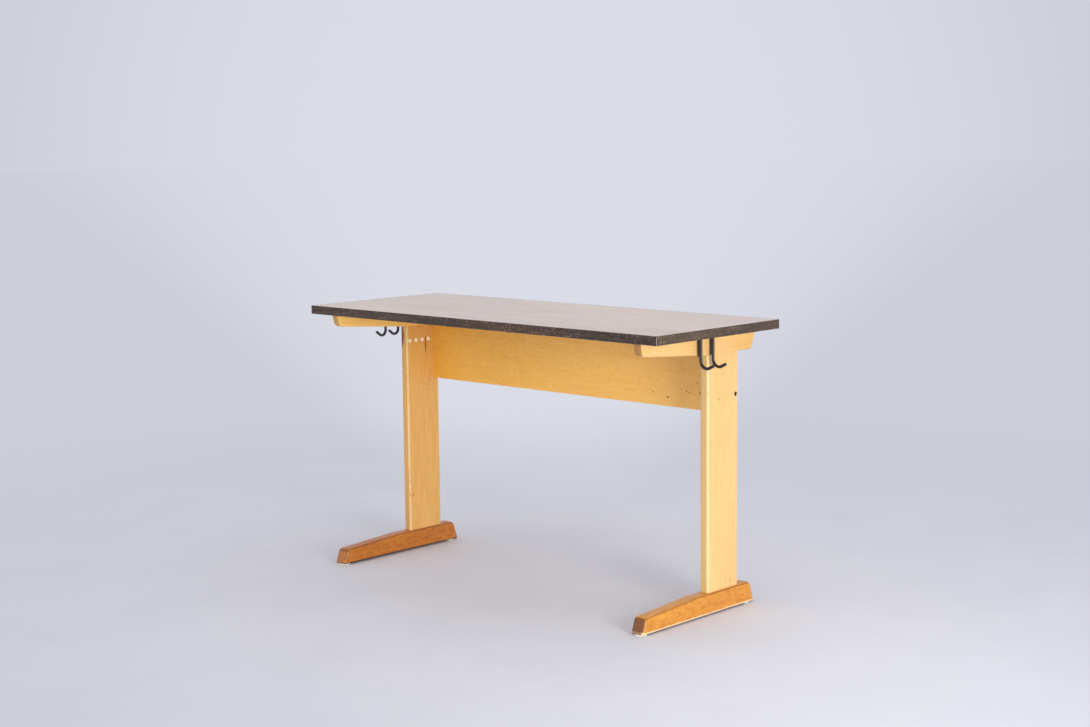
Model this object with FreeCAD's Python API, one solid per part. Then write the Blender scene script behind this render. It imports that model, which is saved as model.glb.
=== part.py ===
import FreeCAD, Part
import math
import os

# Two-seat school drawing desk: a laminated top on two T-shaped wooden end frames, joined by
# a stretcher board along the back. Bag hooks hang under both ends of the top.
# Millimetres. +Z is up and the origin is on the floor, under the centre of the top.
# +X runs along the top. +Y runs to the back, where the stretcher board is.

# Top
TOP_LENGTH = 1300.0
TOP_DEPTH = 500.0
TOP_HEIGHT = 760.0
TOP_THICKNESS = 24.0
LAMINATE_THICKNESS = 0.8
EDGE_BAND_THICKNESS = 3.0
EDGE_BAND_CORNER_ROUND = 1.5
EDGE_BAND_ARRIS_ROUND = 0.6

# End frames: bearer and post lie in one plane, and the foot is a little wider
FRAME_THICKNESS = 27.0
FRAME_INNER_FACE_X = 556.0
FRAME_EDGE_ROUND = 6.5
POST_FRONT_Y = 35.0
POST_BACK_Y = 162.5
BEARER_HEIGHT = 56.0
BEARER_TIP_HEIGHT = 35.3
BEARER_FRONT_TOP_Y = -231.0
BEARER_FRONT_BOTTOM_Y = -222.7
BEARER_BACK_TOP_Y = 241.0
BEARER_BACK_BOTTOM_Y = 222.0
BEARER_NOSE_ROUND = 18.0
BEARER_TAIL_ROUND = 10.0

# Feet
FOOT_WIDTH = 40.0
FOOT_UNDERSIDE_Z = 4.5
FOOT_HEIGHT = 54.0
FOOT_TIP_HEIGHT = 41.0
FOOT_TAPER_START_Y = -15.0
FOOT_TAPER_BLEND = 9.0
FOOT_FRONT_BOTTOM_Y = -236.0
FOOT_FRONT_TOP_Y = -221.5
FOOT_BACK_BOTTOM_Y = 227.5
FOOT_BACK_TOP_Y = 209.0
FOOT_HEEL_ROUND = 15.0
FOOT_TOE_ROUND = 14.0
FOOT_EDGE_ROUND = 8.0
FOOT_SOLE_EDGE_ROUND = 2.0

# Stretcher board between the posts, flush with their back edges and up against the top
STRETCHER_THICKNESS = 22.0
STRETCHER_HEIGHT = 220.0
STRETCHER_EDGE_ROUND = 2.0

# Dowels that join the wooden pieces
FRAME_DOWEL_DIAMETER = 10.0
FRAME_DOWEL_LENGTH = 76.0
FRAME_DOWEL_EDGE_DISTANCE = 24.0
FRAME_DOWEL_COUNT = 3
STRETCHER_DOWEL_DIAMETER = 8.0
STRETCHER_DOWEL_LENGTH = 34.0
STRETCHER_DOWEL_IN_POST = 14.0
STRETCHER_DOWEL_HEIGHTS = (540.0, 650.0)
DOWEL_CHAMFER = 1.0
GLUE_GAP = 0.1
DOWEL_END_GAP = 1.0

# Bolt and cross dowel at each end of the stretcher board
BOLT_HEIGHT_Z = 569.0
BOLT_DIAMETER = 6.0
BOLT_HEAD_DIAMETER = 10.0
BOLT_HEAD_HEIGHT = 6.0
BOLT_HEX_ACROSS_FLATS = 5.0
BOLT_HEX_DEPTH = 3.0
BOLT_LENGTH = 66.0
BOLT_CLEARANCE = 0.3
BOLT_COUNTERBORE_DIAMETER = 12.4
BOLT_COUNTERBORE_DEPTH = 10.0
WASHER_DIAMETER = 12.0
WASHER_THICKNESS = 1.6
CROSS_DOWEL_DIAMETER = 10.0
CROSS_DOWEL_LENGTH = 16.0
CROSS_DOWEL_FROM_END = 38.0
CROSS_DOWEL_SLOT_WIDTH = 1.2
CROSS_DOWEL_SLOT_DEPTH = 1.5
CROSS_DOWEL_RECESS = 3.0

# Wood screws up through the bearers into the top
TOP_SCREW_PLACES_Y = (-170.0, -60.0, 195.0)
TOP_SCREW_DIAMETER = 5.0
TOP_SCREW_LENGTH = 50.0
TOP_SCREW_IN_TOP = 16.0
TOP_SCREW_HEAD_DIAMETER = 10.0
TOP_SCREW_HEAD_HEIGHT = 3.5
TOP_SCREW_COUNTERBORE_DIAMETER = 11.0
CROSS_RECESS_WIDTH = 1.2
CROSS_RECESS_SPAN = 5.0
CROSS_RECESS_DEPTH = 1.8

# Bag hooks: a bent round rod screwed up into the underside of the top, stiffened by a flat stay
HOOK_ROD_DIAMETER = 8.0
HOOK_SHANK_X = 597.0
HOOK_PLACES_Y = {"front": -12.0, "rear": 38.0}
HOOK_LOW_Z = 654.0
HOOK_BEND_RADIUS = 19.0
HOOK_TIP_RISE_ANGLE = 27.0
HOOK_TIP_X = 640.0
HOOK_THREAD_DIAMETER = 6.0
HOOK_THREAD_LENGTH = 16.0
HOOK_STAY_THICKNESS = 3.0
HOOK_STAY_INNER_X = 587.5
HOOK_STAY_LOW_Z = 683.0

# Nail-on glides under the feet
GLIDE_DIAMETER = 32.0
GLIDE_EDGE_ROUND = 1.0
GLIDE_PLACES_Y = {"front": -218.0, "rear": 203.0}
GLIDE_RECESS_DIAMETER = 8.0
GLIDE_RECESS_DEPTH = 2.2
NAIL_DIAMETER = 3.0
NAIL_HEAD_DIAMETER = 7.0
NAIL_HEAD_HEIGHT = 1.2
NAIL_LENGTH = 22.0

# Row of round size marks in the inner face of the left post
SIZE_MARK_COUNT = 4
SIZE_MARK_DIAMETER = 12.0
SIZE_MARK_PITCH = 25.0
SIZE_MARK_FIRST_Y = 47.0
SIZE_MARK_HEIGHT_Z = 636.0
SIZE_MARK_DEPTH = 2.5
SIZE_MARK_PROUD = 0.4

# Worked out from the above
UNDERSIDE_Z = TOP_HEIGHT - TOP_THICKNESS
BEARER_BOTTOM_Z = UNDERSIDE_Z - BEARER_HEIGHT
FOOT_TOP_Z = FOOT_UNDERSIDE_Z + FOOT_HEIGHT
FRAME_OUTER_FACE_X = FRAME_INNER_FACE_X + FRAME_THICKNESS
FRAME_CENTRE_X = (FRAME_INNER_FACE_X + FRAME_OUTER_FACE_X) / 2
STRETCHER_FRONT_Y = POST_BACK_Y - STRETCHER_THICKNESS
STRETCHER_CENTRE_Y = POST_BACK_Y - STRETCHER_THICKNESS / 2
DOWEL_SPAN_Y = POST_BACK_Y - POST_FRONT_Y - 2 * FRAME_DOWEL_EDGE_DISTANCE
DOWEL_PITCH_Y = DOWEL_SPAN_Y / (FRAME_DOWEL_COUNT - 1)
FRAME_DOWEL_PLACES_Y = [POST_FRONT_Y + FRAME_DOWEL_EDGE_DISTANCE + DOWEL_PITCH_Y * i
                        for i in range(FRAME_DOWEL_COUNT)]
SIZE_MARK_PLACES_Y = [SIZE_MARK_FIRST_Y + SIZE_MARK_PITCH * i for i in range(SIZE_MARK_COUNT)]
SCREW_SEAT_Z = UNDERSIDE_Z + TOP_SCREW_IN_TOP - TOP_SCREW_LENGTH
CROSS_DOWEL_X = FRAME_INNER_FACE_X - CROSS_DOWEL_FROM_END
BOLT_HEAD_SEAT_X = FRAME_OUTER_FACE_X - BOLT_COUNTERBORE_DEPTH + WASHER_THICKNESS
REACH = 2 * TOP_LENGTH


def point(x, y, z):
    return FreeCAD.Vector(x, y, z)


def block(x_span, y_span, z_span):
    """A box from its low and high coordinates along each axis."""
    size = [high - low for low, high in (x_span, y_span, z_span)]
    return Part.makeBox(*size, point(x_span[0], y_span[0], z_span[0]))


def rod(diameter, start, end):
    """A cylinder between the centres of its two end faces."""
    return Part.makeCylinder(diameter / 2, (end - start).Length, start, end - start)


def upright(diameter, x, y, z_low, z_high):
    """A vertical cylinder."""
    return rod(diameter, point(x, y, z_low), point(x, y, z_high))


def plank(outline, x_low, x_high):
    """A closed Y-Z outline given as (y, z) corners, extruded along X."""
    corners = [point(x_low, y, z) for y, z in outline]
    wire = Part.makePolygon(corners + corners[:1])
    return Part.Face(wire).extrude(point(x_high - x_low, 0, 0))


def blended_plank(outline, bend_index, blend, x_low, x_high):
    """A plank whose corner bend_index is eased by a curve that starts blend away on both sides."""
    corners = [point(x_low, y, z) for y, z in outline]
    bend = corners[bend_index]
    before = bend + (corners[bend_index - 1] - bend).normalize() * blend
    after = bend + (corners[bend_index + 1] - bend).normalize() * blend
    curve = Part.BezierCurve()
    curve.setPoles([before, bend, after])
    around = [after] + corners[bend_index + 1:] + corners[:bend_index] + [before]
    wire = Part.Wire(Part.makePolygon(around).Edges + [curve.toShape()])
    return Part.Face(wire).extrude(point(x_high - x_low, 0, 0))


def round_edges(shape, radius, wanted):
    """Rounds every edge for which wanted(edge) is true."""
    return shape.makeFillet(radius, [edge for edge in shape.Edges if wanted(edge)])


def runs_across_at(y, z):
    """Picks the edge along X that passes through (y, z)."""
    def wanted(edge):
        box = edge.BoundBox
        near = abs(box.Center.y - y) < 0.01 and abs(box.Center.z - z) < 0.01
        return near and box.YLength < 0.01 and box.ZLength < 0.01
    return wanted


def lies_in_face_between(x_faces, z_low, z_high):
    """Picks the edges that lie in one of the planes x = x_faces and reach inside z_low to z_high."""
    def wanted(edge):
        box = edge.BoundBox
        in_face = box.XLength < 0.01 and min(abs(box.Center.x - x) for x in x_faces) < 0.01
        return in_face and z_low + 0.01 < box.Center.z < z_high - 0.01
    return wanted


def mirrored(shape):
    """The left-hand copy of a right-hand piece."""
    return shape.mirror(point(0, 0, 0), point(1, 0, 0))


def chamfered_pin(diameter, start, end):
    """A dowel pin with a small chamfer at both ends."""
    pin = rod(diameter, start, end)
    rims = [edge for edge in pin.Edges if isinstance(edge.Curve, Part.Circle)]
    return pin.makeChamfer(DOWEL_CHAMFER, rims)


def hex_socket(across_flats, depth, mouth, direction):
    """The cutter for a hexagon socket that is sunk along direction from its mouth."""
    radius = across_flats / math.sqrt(3)
    corners = [point(0, radius * math.cos(math.radians(60 * i)), radius * math.sin(math.radians(60 * i)))
               for i in range(6)]
    hexagon = Part.Face(Part.makePolygon(corners + corners[:1]))
    hexagon.translate(mouth)
    return hexagon.extrude(direction * depth)


# ---- Fastener and dowel places, each as the solids of one right-hand or central group ----

def frame_dowels(joint_z):
    """The glued dowels across the joint at height joint_z between bearer, post and foot."""
    half = FRAME_DOWEL_LENGTH / 2
    return [chamfered_pin(FRAME_DOWEL_DIAMETER,
                          point(FRAME_CENTRE_X, y, joint_z - half),
                          point(FRAME_CENTRE_X, y, joint_z + half))
            for y in FRAME_DOWEL_PLACES_Y]


def frame_dowel_holes(joint_z):
    half = FRAME_DOWEL_LENGTH / 2 + DOWEL_END_GAP
    return [upright(FRAME_DOWEL_DIAMETER + 2 * GLUE_GAP, FRAME_CENTRE_X, y, joint_z - half, joint_z + half)
            for y in FRAME_DOWEL_PLACES_Y]


def stretcher_dowel_span(gap):
    """X range of a stretcher dowel, longer by gap at each end."""
    outer = FRAME_INNER_FACE_X + STRETCHER_DOWEL_IN_POST
    return outer - STRETCHER_DOWEL_LENGTH - gap, outer + gap


def stretcher_dowels():
    low, high = stretcher_dowel_span(0.0)
    return [chamfered_pin(STRETCHER_DOWEL_DIAMETER, point(low, STRETCHER_CENTRE_Y, z),
                          point(high, STRETCHER_CENTRE_Y, z))
            for z in STRETCHER_DOWEL_HEIGHTS]


def stretcher_dowel_holes():
    low, high = stretcher_dowel_span(DOWEL_END_GAP)
    return [rod(STRETCHER_DOWEL_DIAMETER + 2 * GLUE_GAP, point(low, STRETCHER_CENTRE_Y, z),
                point(high, STRETCHER_CENTRE_Y, z))
            for z in STRETCHER_DOWEL_HEIGHTS]


def on_bolt_axis(x):
    return point(x, STRETCHER_CENTRE_Y, BOLT_HEIGHT_Z)


def stretcher_bolt():
    """A socket-head bolt that is sunk in the outer face of the post."""
    head_end = BOLT_HEAD_SEAT_X + BOLT_HEAD_HEIGHT
    shank = rod(BOLT_DIAMETER, on_bolt_axis(BOLT_HEAD_SEAT_X - BOLT_LENGTH), on_bolt_axis(BOLT_HEAD_SEAT_X))
    head = rod(BOLT_HEAD_DIAMETER, on_bolt_axis(BOLT_HEAD_SEAT_X), on_bolt_axis(head_end))
    socket = hex_socket(BOLT_HEX_ACROSS_FLATS, BOLT_HEX_DEPTH, on_bolt_axis(head_end), point(-1, 0, 0))
    return shank.fuse(head).cut(socket).removeSplitter()


def bolt_washer():
    low = BOLT_HEAD_SEAT_X - WASHER_THICKNESS
    disc = rod(WASHER_DIAMETER, on_bolt_axis(low), on_bolt_axis(BOLT_HEAD_SEAT_X))
    return disc.cut(rod(BOLT_DIAMETER + 2 * BOLT_CLEARANCE, on_bolt_axis(low - 1), on_bolt_axis(REACH)))


def bolt_path():
    """The clearance hole for the bolt through the post and into the end of the stretcher."""
    low = BOLT_HEAD_SEAT_X - BOLT_LENGTH - DOWEL_END_GAP
    return rod(BOLT_DIAMETER + 2 * BOLT_CLEARANCE, on_bolt_axis(low), on_bolt_axis(REACH))


def bolt_counterbore():
    low = FRAME_OUTER_FACE_X - BOLT_COUNTERBORE_DEPTH
    return rod(BOLT_COUNTERBORE_DIAMETER, on_bolt_axis(low), on_bolt_axis(REACH))


def on_cross_dowel_axis(y):
    return point(CROSS_DOWEL_X, y, BOLT_HEIGHT_Z)


def cross_dowel():
    """The slotted barrel nut that the bolt screws into, reached from the back of the board."""
    back = POST_BACK_Y - CROSS_DOWEL_RECESS
    front = back - CROSS_DOWEL_LENGTH
    barrel = rod(CROSS_DOWEL_DIAMETER, on_cross_dowel_axis(front), on_cross_dowel_axis(back))
    thread = rod(BOLT_DIAMETER + 2 * GLUE_GAP, on_bolt_axis(0), on_bolt_axis(REACH))
    half_width = CROSS_DOWEL_SLOT_WIDTH / 2
    slot = block((CROSS_DOWEL_X - CROSS_DOWEL_DIAMETER, CROSS_DOWEL_X + CROSS_DOWEL_DIAMETER),
                 (back - CROSS_DOWEL_SLOT_DEPTH, back + 1),
                 (BOLT_HEIGHT_Z - half_width, BOLT_HEIGHT_Z + half_width))
    return barrel.cut(thread).cut(slot)


def cross_dowel_hole():
    front = POST_BACK_Y - CROSS_DOWEL_RECESS - CROSS_DOWEL_LENGTH - GLUE_GAP
    return rod(CROSS_DOWEL_DIAMETER + 2 * GLUE_GAP, on_cross_dowel_axis(front), on_cross_dowel_axis(REACH))


def top_screws():
    """Pan-head wood screws, driven upwards out of counterbores in the bearer."""
    screws = []
    head_z = SCREW_SEAT_Z - TOP_SCREW_HEAD_HEIGHT
    half_span = CROSS_RECESS_SPAN / 2
    half_width = CROSS_RECESS_WIDTH / 2
    for y in TOP_SCREW_PLACES_Y:
        shank = upright(TOP_SCREW_DIAMETER, FRAME_CENTRE_X, y, SCREW_SEAT_Z, SCREW_SEAT_Z + TOP_SCREW_LENGTH)
        head = upright(TOP_SCREW_HEAD_DIAMETER, FRAME_CENTRE_X, y, head_z, SCREW_SEAT_Z)
        depth = (head_z - 1, head_z + CROSS_RECESS_DEPTH)
        along = block((FRAME_CENTRE_X - half_width, FRAME_CENTRE_X + half_width),
                      (y - half_span, y + half_span), depth)
        across = block((FRAME_CENTRE_X - half_span, FRAME_CENTRE_X + half_span),
                       (y - half_width, y + half_width), depth)
        screws.append(shank.fuse(head).cut(along.fuse(across)).removeSplitter())
    return screws


def top_screw_holes():
    """Counterbore and shank hole of each screw, through the bearer and into the top."""
    holes = []
    for y in TOP_SCREW_PLACES_Y:
        holes.append(upright(TOP_SCREW_COUNTERBORE_DIAMETER, FRAME_CENTRE_X, y, 0, SCREW_SEAT_Z))
        tip = SCREW_SEAT_Z + TOP_SCREW_LENGTH + GLUE_GAP
        holes.append(upright(TOP_SCREW_DIAMETER + 2 * GLUE_GAP, FRAME_CENTRE_X, y, SCREW_SEAT_Z - 1, tip))
    return holes


def hook_thread_holes():
    return [upright(HOOK_THREAD_DIAMETER + 2 * GLUE_GAP, HOOK_SHANK_X, y, UNDERSIDE_Z - 1,
                    UNDERSIDE_Z + HOOK_THREAD_LENGTH + GLUE_GAP)
            for y in HOOK_PLACES_Y.values()]


# ---- The top ----

def tabletop_pieces():
    """Chipboard core, laminate on both faces, and an edge band on all four sides."""
    inner_x = TOP_LENGTH / 2 - EDGE_BAND_THICKNESS
    inner_y = TOP_DEPTH / 2 - EDGE_BAND_THICKNESS
    core_z = (UNDERSIDE_Z + LAMINATE_THICKNESS, TOP_HEIGHT - LAMINATE_THICKNESS)
    inside = ((-inner_x, inner_x), (-inner_y, inner_y))
    right_holes = top_screw_holes() + hook_thread_holes()
    holes = right_holes + [mirrored(hole) for hole in right_holes]
    return {
        "tabletop_core": block(*inside, core_z).cut(holes),
        "tabletop_laminate": block(*inside, (core_z[1], TOP_HEIGHT)),
        "tabletop_backing": block(*inside, (UNDERSIDE_Z, core_z[0])).cut(holes),
        "edge_band_front": long_edge_band(-1),
        "edge_band_back": long_edge_band(1),
        "edge_band_left": short_edge_band(-1),
        "edge_band_right": short_edge_band(1),
    }


def long_edge_band(side):
    """The band along the front (side -1) or the back (side 1), with rounded outer corners."""
    half_length = TOP_LENGTH / 2
    outer = side * TOP_DEPTH / 2
    inner = outer - side * EDGE_BAND_THICKNESS
    band = block((-half_length, half_length), sorted((inner, outer)), (UNDERSIDE_Z, TOP_HEIGHT))

    def outer_corner(edge):
        box = edge.BoundBox
        return box.ZLength > 1 and abs(box.Center.y - outer) < 0.01
    band = round_edges(band, EDGE_BAND_CORNER_ROUND, outer_corner)

    def outer_arris(edge):
        box = edge.BoundBox
        return box.ZLength < 0.01 and abs(box.Center.y - outer) < 0.01
    return round_edges(band, EDGE_BAND_ARRIS_ROUND, outer_arris)


def short_edge_band(side):
    """The band across the left (side -1) or right (side 1) end, between the long bands."""
    outer = side * TOP_LENGTH / 2
    inner = outer - side * EDGE_BAND_THICKNESS
    half_depth = TOP_DEPTH / 2 - EDGE_BAND_THICKNESS
    band = block(sorted((inner, outer)), (-half_depth, half_depth), (UNDERSIDE_Z, TOP_HEIGHT))

    def outer_arris(edge):
        box = edge.BoundBox
        return box.ZLength < 0.01 and abs(box.Center.x - outer) < 0.01 and box.YLength > 1
    return round_edges(band, EDGE_BAND_ARRIS_ROUND, outer_arris)


# ---- The end frames ----

def right_frame():
    """Bearer and post together, rounded as one after gluing, and parted at their joint."""
    outline = [
        (BEARER_FRONT_TOP_Y, UNDERSIDE_Z),
        (BEARER_BACK_TOP_Y, UNDERSIDE_Z),
        (BEARER_BACK_BOTTOM_Y, BEARER_BOTTOM_Z),
        (POST_BACK_Y, BEARER_BOTTOM_Z),
        (POST_BACK_Y, FOOT_TOP_Z),
        (POST_FRONT_Y, FOOT_TOP_Z),
        (POST_FRONT_Y, BEARER_BOTTOM_Z),
        (BEARER_FRONT_BOTTOM_Y, UNDERSIDE_Z - BEARER_TIP_HEIGHT),
    ]
    frame = plank(outline, FRAME_INNER_FACE_X, FRAME_OUTER_FACE_X)
    frame = round_edges(frame, BEARER_NOSE_ROUND, runs_across_at(*outline[-1]))
    frame = round_edges(frame, BEARER_TAIL_ROUND, runs_across_at(*outline[2]))
    faces = (FRAME_INNER_FACE_X, FRAME_OUTER_FACE_X)
    frame = round_edges(frame, FRAME_EDGE_ROUND, lies_in_face_between(faces, FOOT_TOP_Z, UNDERSIDE_Z))
    everywhere = (-REACH, REACH)
    above = frame.common(block(everywhere, everywhere, (BEARER_BOTTOM_Z, REACH)))
    below = frame.common(block(everywhere, everywhere, (0, BEARER_BOTTOM_Z)))
    bearer = above.cut(frame_dowel_holes(BEARER_BOTTOM_Z) + top_screw_holes())
    post_holes = frame_dowel_holes(BEARER_BOTTOM_Z) + frame_dowel_holes(FOOT_TOP_Z) + stretcher_dowel_holes()
    post = below.cut(post_holes + [bolt_path(), bolt_counterbore()])
    return bearer, post


def right_foot():
    """A foot that tapers to the front, with sloping ends, round edges and a flat sole."""
    outline = [
        (FOOT_FRONT_BOTTOM_Y, FOOT_UNDERSIDE_Z),
        (FOOT_BACK_BOTTOM_Y, FOOT_UNDERSIDE_Z),
        (FOOT_BACK_TOP_Y, FOOT_TOP_Z),
        (FOOT_TAPER_START_Y, FOOT_TOP_Z),
        (FOOT_FRONT_TOP_Y, FOOT_UNDERSIDE_Z + FOOT_TIP_HEIGHT),
    ]
    faces = (FRAME_CENTRE_X - FOOT_WIDTH / 2, FRAME_CENTRE_X + FOOT_WIDTH / 2)
    foot = blended_plank(outline, 3, FOOT_TAPER_BLEND, *faces)
    foot = round_edges(foot, FOOT_HEEL_ROUND, runs_across_at(*outline[2]))
    foot = round_edges(foot, FOOT_TOE_ROUND, runs_across_at(*outline[4]))
    foot = round_edges(foot, FOOT_EDGE_ROUND, lies_in_face_between(faces, FOOT_UNDERSIDE_Z, REACH))

    def sole_rim(edge):
        return edge.BoundBox.ZMax < FOOT_UNDERSIDE_Z + 0.01
    foot = round_edges(foot, FOOT_SOLE_EDGE_ROUND, sole_rim)
    nail_holes = [upright(NAIL_DIAMETER + 2 * GLUE_GAP, FRAME_CENTRE_X, y, 0, nail_tip_z() + GLUE_GAP)
                  for y in GLIDE_PLACES_Y.values()]
    return foot.cut(frame_dowel_holes(FOOT_TOP_Z) + nail_holes)


def size_marks():
    """The round studs in a row in the inner face of the left post, each standing a little proud."""
    outer = -FRAME_INNER_FACE_X + SIZE_MARK_PROUD
    studs = []
    for y in SIZE_MARK_PLACES_Y:
        stud = rod(SIZE_MARK_DIAMETER, point(-FRAME_INNER_FACE_X - SIZE_MARK_DEPTH, y, SIZE_MARK_HEIGHT_Z),
                   point(outer, y, SIZE_MARK_HEIGHT_Z))
        rim = [edge for edge in stud.Edges if abs(edge.BoundBox.XMin - outer) < 0.01]
        studs.append(stud.makeChamfer(SIZE_MARK_PROUD / 2, rim))
    return studs


def size_mark_holes():
    low = -FRAME_INNER_FACE_X - SIZE_MARK_DEPTH - GLUE_GAP
    return [rod(SIZE_MARK_DIAMETER + 2 * GLUE_GAP, point(low, y, SIZE_MARK_HEIGHT_Z),
                point(0, y, SIZE_MARK_HEIGHT_Z))
            for y in SIZE_MARK_PLACES_Y]


def stretcher_board():
    """The board along the back, with bolt, dowel and cross-dowel holes at both ends."""
    bottom = UNDERSIDE_Z - STRETCHER_HEIGHT
    board = block((-FRAME_INNER_FACE_X, FRAME_INNER_FACE_X), (STRETCHER_FRONT_Y, POST_BACK_Y),
                  (bottom, UNDERSIDE_Z))

    def bottom_arris(edge):
        box = edge.BoundBox
        return box.XLength > 1 and abs(box.Center.z - bottom) < 0.01
    board = round_edges(board, STRETCHER_EDGE_ROUND, bottom_arris)
    right_holes = stretcher_dowel_holes() + [bolt_path(), cross_dowel_hole()]
    return board.cut(right_holes + [mirrored(hole) for hole in right_holes])


# ---- Hooks and glides ----

def right_hook(y):
    """One bent rod with a rising, round-ended tip, a flat stay welded behind its shank and a screw end."""
    radius = HOOK_ROD_DIAMETER / 2
    centre = point(HOOK_SHANK_X + HOOK_BEND_RADIUS, y, HOOK_LOW_Z + HOOK_BEND_RADIUS)

    def on_bend(angle):
        turn = math.radians(angle)
        return centre + point(HOOK_BEND_RADIUS * math.cos(turn), 0, HOOK_BEND_RADIUS * math.sin(turn))

    bend_end_angle = HOOK_TIP_RISE_ANGLE - 90
    shank_top = point(HOOK_SHANK_X, y, UNDERSIDE_Z)
    bend_start = on_bend(180)
    bend_end = on_bend(bend_end_angle)
    along_tip = point(1, 0, math.tan(math.radians(HOOK_TIP_RISE_ANGLE)))
    tip = bend_end + along_tip * (HOOK_TIP_X - radius - bend_end.x)
    bend_middle = on_bend((bend_end_angle - 180) / 2)
    path = Part.Wire([Part.makeLine(shank_top, bend_start),
                      Part.Arc(bend_start, bend_middle, bend_end).toShape(),
                      Part.makeLine(bend_end, tip)])
    section = Part.Wire(Part.makeCircle(radius, shank_top, point(0, 0, 1)))
    body = path.makePipeShell([section], True, False)
    thread = upright(HOOK_THREAD_DIAMETER, HOOK_SHANK_X, y, UNDERSIDE_Z - 1, UNDERSIDE_Z + HOOK_THREAD_LENGTH)
    round_end = Part.makeSphere(radius, tip, along_tip, 0, 90, 360)
    half_stay = HOOK_STAY_THICKNESS / 2
    stay = block((HOOK_STAY_INNER_X, HOOK_SHANK_X), (y - half_stay, y + half_stay),
                 (HOOK_STAY_LOW_Z, UNDERSIDE_Z))
    return body.fuse([round_end, thread, stay]).removeSplitter()


def nail_tip_z():
    return GLIDE_RECESS_DEPTH + NAIL_LENGTH


def right_glide(y):
    """A round plastic disc with a recess for its nail."""
    disc = upright(GLIDE_DIAMETER, FRAME_CENTRE_X, y, 0, FOOT_UNDERSIDE_Z)
    rim = [edge for edge in disc.Edges if edge.BoundBox.ZMax < 0.01]
    disc = disc.makeFillet(GLIDE_EDGE_ROUND, rim)
    recess = upright(GLIDE_RECESS_DIAMETER, FRAME_CENTRE_X, y, -1, GLIDE_RECESS_DEPTH)
    hole = upright(NAIL_DIAMETER + 2 * GLUE_GAP, FRAME_CENTRE_X, y, 0, FOOT_UNDERSIDE_Z + 1)
    return disc.cut([recess, hole])


def right_nails():
    nails = []
    for y in GLIDE_PLACES_Y.values():
        head = upright(NAIL_HEAD_DIAMETER, FRAME_CENTRE_X, y, GLIDE_RECESS_DEPTH - NAIL_HEAD_HEIGHT,
                       GLIDE_RECESS_DEPTH)
        shank = upright(NAIL_DIAMETER, FRAME_CENTRE_X, y, GLIDE_RECESS_DEPTH, nail_tip_z())
        nails.append(head.fuse(shank).removeSplitter())
    return nails


# ---- All pieces by name ----

def both_sides(name, right):
    """A right-hand piece and its mirrored left-hand twin."""
    return {"right_" + name: right, "left_" + name: mirrored(right)}


def all_pieces():
    bearer, post = right_frame()
    pieces = tabletop_pieces()
    pieces.update(both_sides("bearer", bearer))
    pieces.update(both_sides("post", post))
    pieces["left_post"] = pieces["left_post"].cut(size_mark_holes())
    pieces["size_mark_studs"] = Part.makeCompound(size_marks())
    pieces.update(both_sides("foot", right_foot()))
    pieces["stretcher_board"] = stretcher_board()
    pieces.update(both_sides("bearer_dowels", Part.makeCompound(frame_dowels(BEARER_BOTTOM_Z))))
    pieces.update(both_sides("foot_dowels", Part.makeCompound(frame_dowels(FOOT_TOP_Z))))
    pieces.update(both_sides("stretcher_dowels", Part.makeCompound(stretcher_dowels())))
    pieces.update(both_sides("stretcher_bolt", stretcher_bolt()))
    pieces.update(both_sides("bolt_washer", bolt_washer()))
    pieces.update(both_sides("cross_dowel", cross_dowel()))
    pieces.update(both_sides("top_screws", Part.makeCompound(top_screws())))
    for place, y in HOOK_PLACES_Y.items():
        pieces.update(both_sides(place + "_hook", right_hook(y)))
    for place, y in GLIDE_PLACES_Y.items():
        pieces.update(both_sides(place + "_glide", right_glide(y)))
    pieces.update(both_sides("glide_nails", Part.makeCompound(right_nails())))
    return pieces


os.makedirs("parts", exist_ok=True)
for node, shape in all_pieces().items():
    if not shape.isValid():
        raise RuntimeError(node + " is not a valid shape")
    shape.exportStep("parts/" + node + ".step")
    print(f"{node}: {len(shape.Solids)} solid(s), {shape.Volume / 1000:.1f} cm3")
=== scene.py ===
import math

import bpy
from mathutils import Matrix, Vector


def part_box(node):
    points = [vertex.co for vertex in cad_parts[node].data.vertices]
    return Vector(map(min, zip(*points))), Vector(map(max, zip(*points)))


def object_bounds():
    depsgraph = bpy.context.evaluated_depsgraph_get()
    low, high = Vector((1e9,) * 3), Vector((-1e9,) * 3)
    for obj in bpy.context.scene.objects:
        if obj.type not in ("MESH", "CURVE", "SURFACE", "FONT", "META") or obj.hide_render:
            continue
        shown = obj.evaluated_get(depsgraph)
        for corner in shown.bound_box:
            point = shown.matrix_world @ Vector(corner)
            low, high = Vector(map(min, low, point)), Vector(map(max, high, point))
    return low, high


# The looks of a two-seat school drawing desk: lacquered beech frames, a laminated top with a
# dark edge band, black steel bag hooks and plastic glides. Metres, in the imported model's frame.

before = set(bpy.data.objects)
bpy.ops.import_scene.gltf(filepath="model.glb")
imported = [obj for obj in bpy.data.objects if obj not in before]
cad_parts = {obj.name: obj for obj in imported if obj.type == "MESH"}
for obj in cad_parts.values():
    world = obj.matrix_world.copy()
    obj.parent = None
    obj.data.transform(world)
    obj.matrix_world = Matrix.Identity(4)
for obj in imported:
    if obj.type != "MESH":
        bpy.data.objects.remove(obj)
cad_low, cad_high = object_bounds()
MM = 0.001

# Camera: place in metres, angles in radians, lens and sensor in millimetres
CAMERA_PLACE = (3.385, -3.535, 1.247)
CAMERA_YAW = 0.7572
CAMERA_PITCH = 0.1281
CAMERA_ROLL = -0.0112
CAMERA_LENS = 58.99
CAMERA_SENSOR_WIDTH = 36.0

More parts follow.
